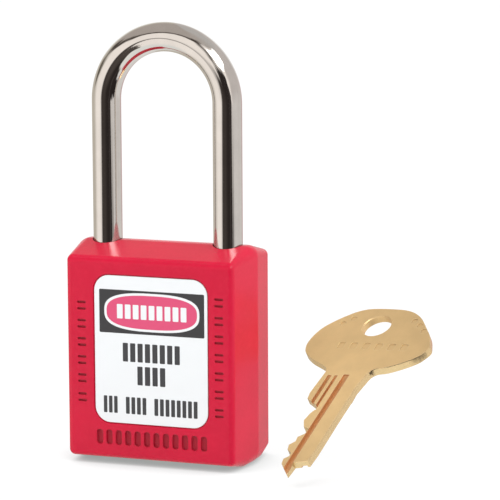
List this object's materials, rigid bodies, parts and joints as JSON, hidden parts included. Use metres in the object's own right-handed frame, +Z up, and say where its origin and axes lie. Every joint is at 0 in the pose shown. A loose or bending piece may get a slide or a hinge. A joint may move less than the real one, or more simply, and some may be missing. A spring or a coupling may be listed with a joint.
{
  "type": "safety padlock",
  "caption": "Keyed safety padlock with a moulded body, a bright steel shackle, a working pin-tumbler cylinder and a loose brass key beside it.",
  "frame": {"origin": "on the flat ridge of the body's top, midway between the two shackle legs", "axes": "+Z up along the shackle legs, -Y out of the front label face, +X towards the short leg of the shackle"},
  "size_m": [0.0716, 0.0436, 0.0884],
  "materials": {
    "red_plastic": "satin moulded thermoplastic",
    "label_film": "satin printed vinyl",
    "shackle_metal": "bright plated",
    "plated_steel": "satin plated",
    "spring_steel": "drawn wire",
    "dark_zinc": "matt cast",
    "brass_cast": "machined",
    "key_brass": "satin rolled and milled"
  },
  "bodies": {
    "housing": {"body_shell": "red_plastic", "bottom_cover": "red_plastic", "cover_rivet_1": "plated_steel", "cover_rivet_2": "plated_steel", "cover_rivet_3": "plated_steel", "cover_rivet_4": "plated_steel", "front_label": "label_film", "back_label": "label_film", "shackle_retaining_pin": "plated_steel", "shackle_spring": "spring_steel", "bolt_guide_plate": "plated_steel", "cylinder_housing": "brass_cast", "chamber_cover_strip": "brass_cast", "driver_pin_1": "plated_steel", "driver_spring_1": "spring_steel", "driver_pin_2": "plated_steel", "driver_spring_2": "spring_steel", "driver_pin_3": "plated_steel", "driver_spring_3": "spring_steel", "driver_pin_4": "plated_steel", "driver_spring_4": "spring_steel", "driver_pin_5": "plated_steel", "driver_spring_5": "spring_steel", "driver_pin_6": "plated_steel", "driver_spring_6": "spring_steel"},
    "plug_turning": {"plug": "brass_cast", "plug_clip": "spring_steel", "cam": "dark_zinc", "cam_screw": "plated_steel", "key_pin_1": "brass_cast", "key_pin_2": "brass_cast", "key_pin_3": "brass_cast", "key_pin_4": "brass_cast", "key_pin_5": "brass_cast", "key_pin_6": "brass_cast"},
    "bolt_right_body": {"bolt_right": "plated_steel"},
    "bolt_left_body": {"bolt_left": "plated_steel"},
    "shackle_body": {"shackle": "shackle_metal"},
    "key_body": {"key": "key_brass"}
  },
  "joints": [
    {"name": "plug_turn", "type": "hinge", "parent": "housing", "child": "plug_turning", "pos_m": [0, 0, -0.03], "axis": [0, 0, 1], "range_deg": [0, 90]},
    {"name": "bolt_right_slide", "type": "slide", "parent": "housing", "child": "bolt_right_body", "axis": [-1, 0, 0], "range_m": [0, 0.006]},
    {"name": "bolt_left_slide", "type": "slide", "parent": "housing", "child": "bolt_left_body", "axis": [1, 0, 0], "range_m": [0, 0.006]},
    {"name": "shackle_lift", "type": "slide", "parent": "housing", "child": "shackle_body", "axis": [0, 0, 1], "range_m": [0, 0.013], "deforming": ["shackle_spring"]},
    {"name": "key_slide", "type": "slide", "parent": "housing", "child": "key_body", "axis": [0.1528, 0.8472, 0.5089], "range_m": [0, 0.015]}
  ],
  "couplings": [
    {"joint": "plug_turn", "follows": "shackle_lift", "rad_per_m": 120.83},
    {"joint": "bolt_right_slide", "follows": "shackle_lift", "ratio": 0.4615},
    {"joint": "bolt_left_slide", "follows": "shackle_lift", "ratio": 0.4615}
  ]
}
